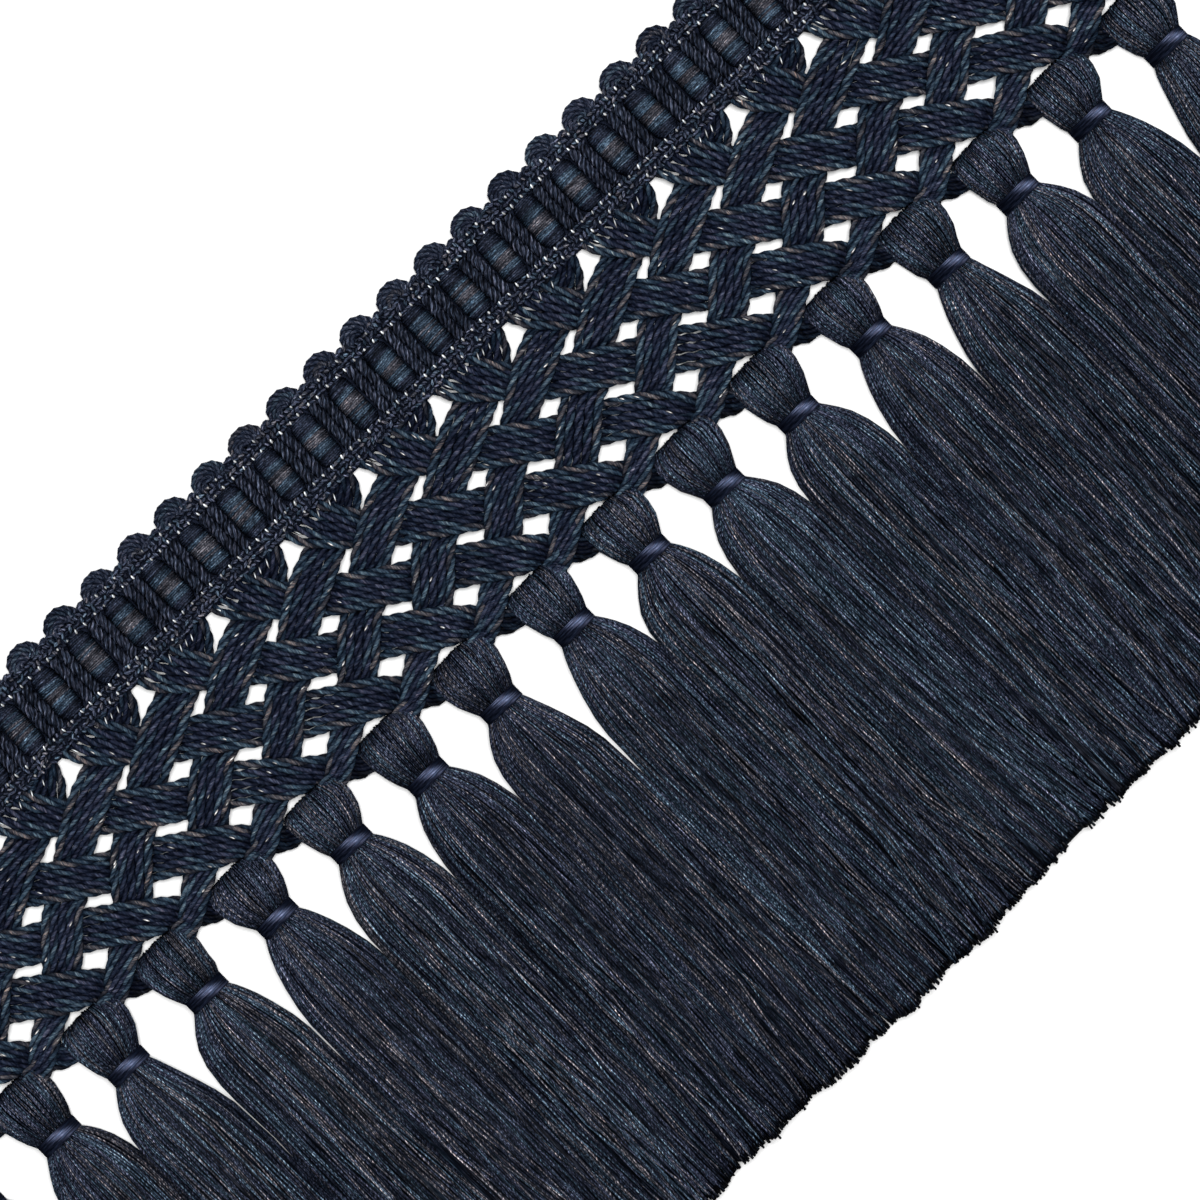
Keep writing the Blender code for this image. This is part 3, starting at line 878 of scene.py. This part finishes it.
def cord_path(way, group, cord):
    """The smooth path of one netting cord."""
    fine = 0.3
    path = soften(resample(cord_keys(way, group, cord), fine), fine, 0.8)
    far = np.abs(path[:, 0]) - DRAWN_IN_X
    drawn = np.sign(path[:, 0]) * (DRAWN_IN_X + DRAWN_IN * far)
    path[:, 0] = np.where(far > 0, drawn, path[:, 0])
    near = ramp(path[:, 1], 24, 34) * ramp(path[:, 1], 62, 56)
    for length, reach, slope, phase in NET_WAVES:
        wave = reach * near * np.sin(path[:, 0] / length + path[:, 1] / slope + phase)
        path[:, 0] += wave
        path[:, 1] += 0.6 * wave * np.cos(path[:, 0] / 17.0)
    path[:, 1] = height_of(path[:, 1])
    return path


def band_run(path, way, group):
    """How far along its band each point of a cord lies, the same for cords side by side."""
    along, down = math.cos(NET_SLOPE), math.sin(NET_SLOPE)
    start = way * (path[0, 0] - group_centre(group)) * along - path[0, 1] * down
    steps = np.abs(np.diff(path[:, 0])) * along + np.abs(np.diff(path[:, 1])) * down
    return start + np.concatenate([[0.0], np.cumsum(steps)])


def add_plied_cord(mesh, path, turns, colours, net_shade, start):
    """Lay up a cord in a Z twist from as many plies as it has colours."""
    radius = size("ply_radius")
    across, lift = path_frame(path, (0.0, 0.0, 1.0))
    for index, colour in enumerate(colours):
        angle = 2 * math.pi * (index / len(colours) - turns)
        outward = np.cos(angle)[:, None] * across + 0.9 * np.sin(angle)[:, None] * lift
        # painted light and shade: a ply on top of its cord lighter, one at the cord's side or under
        # it darker
        lit = net_shade * (0.24 + 0.76 * np.clip(np.sin(angle), 0, 1))
        mesh.sweep(path + 1.1 * radius * outward, radius, colour * lit[:, None], up=outward,
                   start=start + 17.0 * index, painted_shade=0.97)


def make_netting():
    """The crossed bands of plied cords, one piece for each set."""
    rng = seeded("netting")
    pieces = {1: ("net_cords_rightward", ["netting"]), -1: ("net_cords_leftward", [])}
    for way, (name, nodes) in pieces.items():
        mesh = YarnMesh()
        for group in range(TASSELS):
            phase = rng.uniform(0, 1)
            for cord in range(CORDS):
                path = resample(cord_path(way, group, cord), size("cord_step"))
                turns = band_run(path, way, group) / size("cord_pitch") + phase
                turns = turns + rng.normal(0, 0.05)
                # painted shade: darker by the heading and the heads, and where the cord lies low
                # under the band that crosses it
                net_shade = read_off(TOP - path[:, 1], NET_SHADES[way])
                net_shade *= np.interp(path[:, 2], [LOW, LOW + 0.6 * (HIGH - LOW)], [0.25, 1.0])
                colours = [mingled(yarn, 0.82) * NET_TONE * rng.uniform(0.7, 1.3)
                           for yarn in PLY_COLOURS[cord]]
                add_plied_cord(mesh, path, turns, colours, net_shade, rng.uniform(0, 100))
        mesh.build(name, "net_cord", "net_cords", *nodes)


# ---- catch stitches

def row_flecks(half, rng):
    """Stitches in rows along the heading's edges."""
    for row in CATCH_ROWS:
        for x in np.arange(-half, half, row.pitch):
            if rng.uniform() > row.shown:
                continue
            lean = rng.uniform(-0.3, 0.3)
            across = x + rng.uniform(-0.25, 0.25)
            middle = (across, height_of(row.drop + rng.uniform(-0.15, 0.15)), CATCH_HEIGHT)
            yield (middle, (lean, math.sqrt(1 - lean ** 2), 0),
                   row.half_length * rng.uniform(0.6, 1.2), rng.uniform(0.18, 0.28),
                   rng.uniform(0.45, 1.0))


def slit_flecks(half, rng):
    """Stitches in the slits between the cords under the heading's foot."""
    for group in range(TASSELS):
        for place in SLIT_PLACES:
            x = group_centre(group) + place + rng.uniform(-0.2, 0.2)
            if abs(x) > half or rng.uniform() < 0.25:
                continue
            way = 1 if place < 0 else -1
            yield ((x, height_of(SLIT_DROP), SLIT_HEIGHT),
                   (way * math.cos(SLIT_LEAN), -math.sin(SLIT_LEAN), 0),
                   rng.uniform(0.6, 1.0), 0.14, rng.uniform(0.4, 0.9))


def net_flecks(rng):
    """The few flecks that show on the netting's cords, where they lie on top."""
    for way, group, cord in product((1, -1), range(TASSELS), range(CORDS)):
        path = cord_path(way, group, cord)
        for _ in range(rng.poisson(NET_FLECKS)):
            at = rng.integers(10, len(path) - 30)
            if path[at, 2] < (LOW + HIGH) / 2:
                continue
            along = path[at + 2] - path[at - 2]
            turned = along + np.array([along[1], -along[0], 0]) * 0.45
            aside = rng.uniform(-0.7, 0.7)
            yield (path[at] + np.array([0.5 * aside, -0.5 * aside, 0.95]),
                   turned / np.linalg.norm(turned), rng.uniform(0.4, 0.75),
                   rng.uniform(0.11, 0.17), rng.uniform(0.3, 0.9) * FLECK_TINT)


def make_catch_stitches():
    """Pale thread in rows on the heading, under its foot, and here and there in the netting.

    Each fleck has its middle, direction, half length, radius and tone, and is pointed at both ends.
    """
    rng = seeded("catch")
    mesh = YarnMesh()
    pale = yarn_colour("pale")
    half = TAPE_HALF - 1
    shape = np.array([-1.0, -0.45, 0.45, 1.0])
    flecks = chain(row_flecks(half, rng), slit_flecks(half, rng), net_flecks(rng))
    for middle, direction, half_length, radius, tone in flecks:
        path = np.asarray(middle) + np.outer(shape * half_length, direction)
        path[:, 2] += 0.14 * (1 - shape ** 2)
        mesh.sweep(path, radius * np.array([0.35, 1.0, 1.0, 0.35]), pale * tone, sides=4, flat=0.6)
    return mesh.build("catch_stitches", "catch_thread", "woven_heading")


# ---- tassels

TasselShape = namedtuple("TasselShape", "x tie_x tie_drop foot_drop head_lean fan_lean fullness")
Outline = namedtuple("Outline", "middle drop half_width base crown opening head")


def tassel_shape(index, rng):
    """A tassel's place from its solids, with its own lean and fullness."""
    low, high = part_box(TASSEL_NODES[index])
    tie_low, tie_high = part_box(TIE_NODES[index])
    return TasselShape(
        x=(low.x + high.x) / 2 / MM,
        tie_x=(tie_low.x + tie_high.x) / 2 / MM,
        tie_drop=TOP - (tie_low.y + tie_high.y) / 2 / MM,
        foot_drop=TOP - low.y / MM,
        head_lean=np.clip(rng.normal(0.2, 0.5, 2), -0.9, 1.1),
        fan_lean=np.clip(rng.normal(-0.35, 0.75, 2), -1.5, 1.0),
        fullness=rng.uniform(0.96, 1.03))


def outline_of(shape):
    """A tassel's outline in columns. Opening and head say how far its fan and head may lean."""
    drop, half_width, base, crown, follow = np.array(TASSEL_SECTIONS).T
    foot = TASSEL_SECTIONS[-1].drop
    middle = shape.x + follow * (shape.tie_x - shape.x)
    drop = drop + follow * (shape.tie_drop - TIE_DROP)
    drop = drop + ramp(drop, 95, foot) * (shape.foot_drop - foot)
    opening = ramp(drop, 74.5, 79.5) * ramp(drop, 97, 84)
    head = ramp(drop, 60, 63) * ramp(drop, 71, 68)
    return Outline(middle, drop, half_width, base, crown * shape.fullness, opening, head)


def arch_height(place):
    """Height of the arch over a place across it, from -1 to 1, as a share of the crown's."""
    return np.clip(1 - np.abs(place) ** ARCH_POWER, 0, 1) ** (1 / ARCH_POWER)


def strand_places(count, rng):
    """Where a tassel's strands lie across it, evenly over its front and down both sides."""
    side = count // 7
    front = np.linspace(-0.955, 0.955, count - 2 * side)
    front = front + rng.uniform(-0.02, 0.02, count - 2 * side)
    sides = 1 - 0.05 * rng.uniform(0, 1, 2 * side) ** 1.6
    sides[:side] *= -1
    return np.concatenate([front, sides])


def foot_drop_at(x, feet):
    """Drop of the cut end at a place along the trim, from the feet of the tassels' solids."""
    centres, drops = feet
    return np.interp(x, centres, drops) + 0.35 * np.sin(x / 2.9) + 0.25 * np.sin(x / 1.13 + 2.0)


def sway_at(x, waves):
    """How far a layer of strands leans aside by its cut ends at a place along the trim."""
    return sum(reach * np.sin(x / length + phase) for length, reach, phase in waves)


def lean_at(shape, outline, place):
    """How far a tassel's yarns lean aside, at a place or places across it."""
    side = (np.asarray(place) > 0).astype(int)
    lean = outline.opening * shape.fan_lean[side] + outline.head * shape.head_lean[side]
    return lean * np.abs(place)


def add_core(mesh, shape, feet, rng):
    """The yarns inside a tassel, as one streaky body a little inside those that show, darkened with
    painted shade.
    """
    outline = Outline(*(column[2:, None] for column in outline_of(shape)))
    drop = outline.drop
    angle = np.linspace(0, np.pi, 27)
    place, rise = arch(angle)
    inset = read_off(drop, CORE_INSETS)
    rings = np.empty((len(drop), len(angle), 3))
    rings[..., 0] = outline.middle + (outline.half_width - inset) * place
    rings[..., 0] += lean_at(shape, outline, place)
    rings[..., 1] = height_of(drop)
    rings[..., 2] = 0.05 + (outline.crown - 1.4) * rise
    cut = rng.uniform(-0.35, 0.35, len(angle))
    rings[-1, :, 1] = height_of(foot_drop_at(rings[-1, :, 0], feet) - 1.0 + cut)
    rings[-2, :, 1] += 0.8
    # painted shade: the inner yarns made far darker than those that show, and darker or lighter by
    # drop
    yarns = np.array([mingled(rng.choice(YARNS), 0.5) for _ in angle])
    yarns = yarns * rng.uniform(0.02, 0.24, len(angle))[:, None]
    runs = np.stack([rings[..., 1], rings[..., 0] + 200, rings[..., 2]], axis=-1)
    mesh.add_rings(rings, yarns * read_off(drop, CORE_SHADING)[..., None], runs)


def strand_path(shape, outline, place, rng, feet, waves):
    """The path of a strand at a place across its tassel, from its fold to its cut end."""
    middle, drop, half_width, base, crown = outline[:5]
    depth = rng.uniform(0, 1) ** 1.5
    x = middle + place * (half_width - 0.25) * (1 - 0.05 * depth)
    x = x + lean_at(shape, outline, place)
    z = base + (crown - base - 0.25) * arch_height(place) * (1 - 0.16 * depth) - 0.1
    layer = waves[int(rng.uniform() < 0.25)]
    drift = sway_at(x[-1], layer) + rng.normal(0, 0.35 if rng.uniform() < 0.8 else 2.0)
    loose = np.clip((drop - shape.tie_drop) / 45 - 0.05, 0, 1)
    loose = (loose + np.clip((72 - drop) / 25, 0, 0.35)) * (1 - 0.6 * place ** 4)
    x = x + drift * ramp(drop, SKIRT_DROP, shape.foot_drop) ** 2.6
    x = x + 0.7 * loose * np.sin(drop / rng.uniform(4, 13) + rng.uniform(0, 6))
    z = z + 0.4 * loose * np.sin(drop / rng.uniform(3.5, 10) + rng.uniform(0, 6))
    cut = rng.uniform(0, 1) ** 2 * size("ragged")
    if rng.uniform() < 0.05:
        cut -= rng.uniform(0.3, 0.9)
    y = drop.copy()
    y[-1] = foot_drop_at(x[-1], feet) - 0.1 - cut
    y[-2] = y[-1] - rng.uniform(0.4, 1.9)
    y[:5] += 0.5 * place ** 2 + rng.normal(0, 0.12)
    return np.column_stack([x, height_of(y), np.maximum(z, size("strand_radius"))])


def strand_colours(drop, place, rng):
    """Colours along a strand, one in five of them bright, with painted shade at its fold, its tie
    and the fan's edges, painted light over the fan, and dark at its end.
    """
    bright = rng.uniform() < 0.2
    name = rng.choice(YARNS, p=BRIGHT_SHARES if bright else PLAIN_SHARES)
    colour = mingled(name, 0.68) * math.exp(rng.normal(-0.25, 0.43)) * (1.75 if bright else 1.0)
    # painted light and shade down the strand, by drop
    tone = read_off(drop, STRAND_SHADING)
    # painted shade at the top of the head, where it turns under the netting
    tone[:5] = 0.08, 0.08, 0.12, 0.3, 0.7
    tone[-2:] = 0.1, 0.04
    # painted shade along the edges of the fan, where two tassels meet
    tone *= 1 - 0.5 * abs(place) ** 8 * read_off(drop, SIDE_SHADE)
    tone *= (mingled("navy", 0.0).mean() / colour.mean()) ** read_off(drop, STRAND_EVENNESS)
    return colour * tone[:, None]


def outward_at(outline, place):
    """The way outward from a tassel's arch along a strand."""
    slope = ARCH_POWER - 1
    outward = np.column_stack([np.sign(place) * abs(place) ** slope / outline.half_width,
                               np.zeros(len(outline.drop)),
                               (arch_height(place) ** slope + 0.02) / outline.crown])
    return outward / np.linalg.norm(outward, axis=1, keepdims=True)


def make_tassel(index, shape, rng, feet, waves):
    """One tassel: yarns folded over its cords, drawn in at the neck, hanging to a cut end."""
    outline = outline_of(shape)
    thickness = size("strand_radius") * read_off(outline.drop, STRAND_THICKNESS)
    mesh = YarnMesh()
    for place in strand_places(bpy.context.scene.trim_sizes.strands, rng):
        path = strand_path(shape, outline, place, rng, feet, waves)
        colours = strand_colours(outline.drop, place, rng)
        mesh.sweep(path, thickness * rng.uniform(0.8, 1.15), colours, sides=3,
                   up=outward_at(outline, place), start=rng.uniform(0, 200), painted_shade=1.1)
    node = TASSEL_NODES[index]
    return mesh.build(node + "_yarn", "tassel_strand", "tassel_yarn", node)


def make_tie(index, rng):
    """The thread wound flat round a tassel's neck, with a painted highlight on its top."""
    node = TIE_NODES[index]
    low, high = (np.array(corner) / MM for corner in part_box(node))
    centre = (low + high) / 2
    half_width = (high[0] - low[0]) / 2 - 0.06
    crown = high[2] - 0.08
    width = high[1] - low[1]
    arch_x, arch_z = arch(np.linspace(0, np.pi, 33))
    base_x = np.linspace(-1, 1, 9)[1:-1]
    ring_x = np.concatenate([arch_x, base_x])
    ring_z = np.concatenate([arch_z, np.zeros(len(base_x))])
    steps = 2 * TIE_TURNS + 1
    across = np.linspace(-0.5, 0.5, steps)
    ridge = np.where(np.arange(steps) % 2, 0.0, -0.09) + rng.uniform(-0.02, 0.02, steps)
    ridge[[0, -1]] = -0.22
    slant = rng.uniform(-0.25, 0.25)
    # the wound band, and then its two edges turned in against the neck
    along = np.append(across * width, (0.45 * width, -0.45 * width))
    depth = np.append(ridge, (-0.75, -0.75))
    # random tone, with painted shade on every second ring, in the valleys between the turns
    shades = rng.uniform(0.8, 1.25, len(along)) * np.where(np.arange(len(along)) % 2, 1.0, 0.85)
    x, z = ring_x[:, None], ring_z[:, None]
    lift = np.where((z == 0) & (depth < -0.7), 0.4, 0.0)
    rings = np.stack([centre[0] + x * (half_width + depth),
                      centre[1] + along * 0.97 + slant * 0.5 * x,
                      0.05 + z * (crown + depth - 0.05) + lift], axis=-1)
    # painted highlight: a soft gleam just right of the middle of the tie's top, slanting across it
    painted_gleam = np.exp(-0.5 * ((x * half_width - 1.7 + 1.1 * along) / 0.95) ** 2) * (z > 0)
    painted_gleam = painted_gleam * np.exp(-0.5 * ((along / width - 0.1) / 0.3) ** 2)
    tones = yarn_colour("satin") * (shades * (0.35 + TIE_PAINTED_GLEAM * painted_gleam))[..., None]
    runs = np.stack(np.broadcast_arrays(x * 8, along, depth), axis=-1)
    mesh = YarnMesh()
    mesh.add_rings(rings, tones, runs, joined=True)
    return mesh.build(node + "_thread", "tie_satin", "tie_thread", node)


# ---- stage

def make_table():
    """The pale table under the trim."""
    half = TABLE_WIDTH / 2
    mesh = bpy.data.meshes.new("table_top")
    mesh.from_pydata([(-half, -half, 0), (half, -half, 0), (half, half, 0), (-half, half, 0)],
                     [], [(0, 1, 2, 3)])
    material, shader = principled_material("table_surface", Roughness=0.8, Specular_IOR_Level=0.2)
    nodes = Nodes(material.node_tree)
    tone = nodes.remap(nodes.noise(6.0, 2.0), 0.985, 1.0)
    colour = tuple(bpy.context.scene.trim_colours.table)
    material.node_tree.links.new(nodes.vector("SCALE", colour, tone), shader.inputs["Base Color"])
    mesh.materials.append(material)
    add_object("table_top", mesh, (0, 0, -TABLE_GAP))


def make_light():
    """A soft square light that faces the middle of the trim."""
    lamp = bpy.data.lights.new("soft_light", "AREA")
    lamp.shape = "SQUARE"
    lamp.size = LIGHT_WIDTH
    lamp.energy = LIGHT_POWER
    light = add_object("soft_light", lamp, LIGHT_PLACE)
    light.rotation_euler = (-Vector(LIGHT_PLACE)).to_track_quat("-Z", "Y").to_euler()


def make_world():
    """The even light of a pale room."""
    world = bpy.data.worlds.new("studio")
    world.use_nodes = True
    background = world.node_tree.nodes["Background"].inputs
    background["Color"].default_value = (1.0, 1.0, 1.0, 1.0)
    background["Strength"].default_value = ROOM_LIGHT
    bpy.context.scene.world = world


def make_camera():
    """The camera straight above, turned so that the trim runs up to the right."""
    camera = bpy.data.cameras.new("camera")
    camera.lens = 100
    camera.sensor_width = 36
    camera.clip_start = 0.01
    height = bpy.context.scene.trim_sizes.camera_height
    holder = add_object("camera", camera, (*CAMERA_PLACE, height))
    holder.rotation_euler = (0, 0, CAMERA_TURN)
    bpy.context.scene.camera = holder


# ---- operators

class TrimOperator:
    """What every operator of the trim shares."""

    bl_options = {"REGISTER", "UNDO"}

    def execute(self, context):
        self.make()
        return {"FINISHED"}


class TRIM_OT_heading(TrimOperator, bpy.types.Operator):
    """Make the heading: tape, stitches, rungs, twisted columns and scallops"""

    bl_idname = "trim.heading"
    bl_label = "Heading"

    def make(self):
        tape = make_tape()
        worked = [make_stitches(), make_rungs(), make_columns(), make_scallops()]


class TRIM_OT_netting(TrimOperator, bpy.types.Operator):
    """Make the netting of crossed cords"""

    bl_idname = "trim.netting"
    bl_label = "Netting"

    def make(self):
        make_netting()


class TRIM_OT_catch_stitches(TrimOperator, bpy.types.Operator):
    """Make the pale catch stitches"""

    bl_idname = "trim.catch_stitches"
    bl_label = "Catch stitches"

    def make(self):
        make_catch_stitches()


class TRIM_OT_tassels(TrimOperator, bpy.types.Operator):
    """Make every tassel"""

    bl_idname = "trim.tassels"
    bl_label = "Tassels"

    def make(self):
        rng = seeded("tassels")
        boxes = [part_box(name) for name in TASSEL_NODES]
        feet = ([(low.x + high.x) / 2 / MM for low, high in boxes],
                [TOP - low.y / MM for low, _ in boxes])
        waves = [[(length, reach, rng.uniform(0, 6.3)) for length, reach in SWAYS]
                 for _ in range(2)]
        shapes = [tassel_shape(index, rng) for index in range(TASSELS)]
        cores = YarnMesh()
        for index, shape in enumerate(shapes):
            add_core(cores, shape, feet, rng)
            make_tassel(index, shape, rng, feet, waves)
        cores.build("tassel_cores", "inner_yarn", "tassel_yarn")


class TRIM_OT_ties(TrimOperator, bpy.types.Operator):
    """Make every tie"""

    bl_idname = "trim.ties"
    bl_label = "Ties"

    def make(self):
        rng = seeded("ties")
        for index in range(TASSELS):
            make_tie(index, rng)


class TRIM_OT_stage(TrimOperator, bpy.types.Operator):
    """Make the table, the lights and the camera"""

    bl_idname = "trim.stage"
    bl_label = "Stage"

    def make(self):
        make_table()
        make_light()
        make_world()
        make_camera()
        bpy.context.scene.view_settings.view_transform = "Standard"


class TRIM_PT_panel(bpy.types.Panel):
    """Panel that lists the trim's pieces"""

    bl_idname = "TRIM_PT_panel"
    bl_label = "Tassel fringe trim"
    bl_space_type = "VIEW_3D"
    bl_region_type = "UI"
    bl_category = "Trim"

    def draw(self, context):
        layout = self.layout
        for operator in OPERATORS:
            layout.operator(operator.bl_idname)
        for group in (context.scene.trim_sizes, context.scene.trim_colours):
            box = layout.box()
            for field in group.__annotations__:
                box.prop(group, field)


OPERATORS = (TRIM_OT_heading, TRIM_OT_netting, TRIM_OT_catch_stitches, TRIM_OT_tassels,
             TRIM_OT_ties, TRIM_OT_stage)
CLASSES = (TRIM_PG_sizes, TRIM_PG_colours, *OPERATORS, TRIM_PT_panel)


def register():
    for item in CLASSES:
        bpy.utils.register_class(item)
    bpy.types.Scene.trim_sizes = bpy.props.PointerProperty(type=TRIM_PG_sizes)
    bpy.types.Scene.trim_colours = bpy.props.PointerProperty(type=TRIM_PG_colours)


def unregister():
    del bpy.types.Scene.trim_colours
    del bpy.types.Scene.trim_sizes
    for item in reversed(CLASSES):
        bpy.utils.unregister_class(item)


def main():
    """Build everything in order."""
    register()
    bpy.ops.trim.heading()
    bpy.ops.trim.netting()
    bpy.ops.trim.catch_stitches()
    bpy.ops.trim.tassels()
    bpy.ops.trim.ties()
    bpy.ops.trim.stage()


if __name__ == "__main__":
    main()
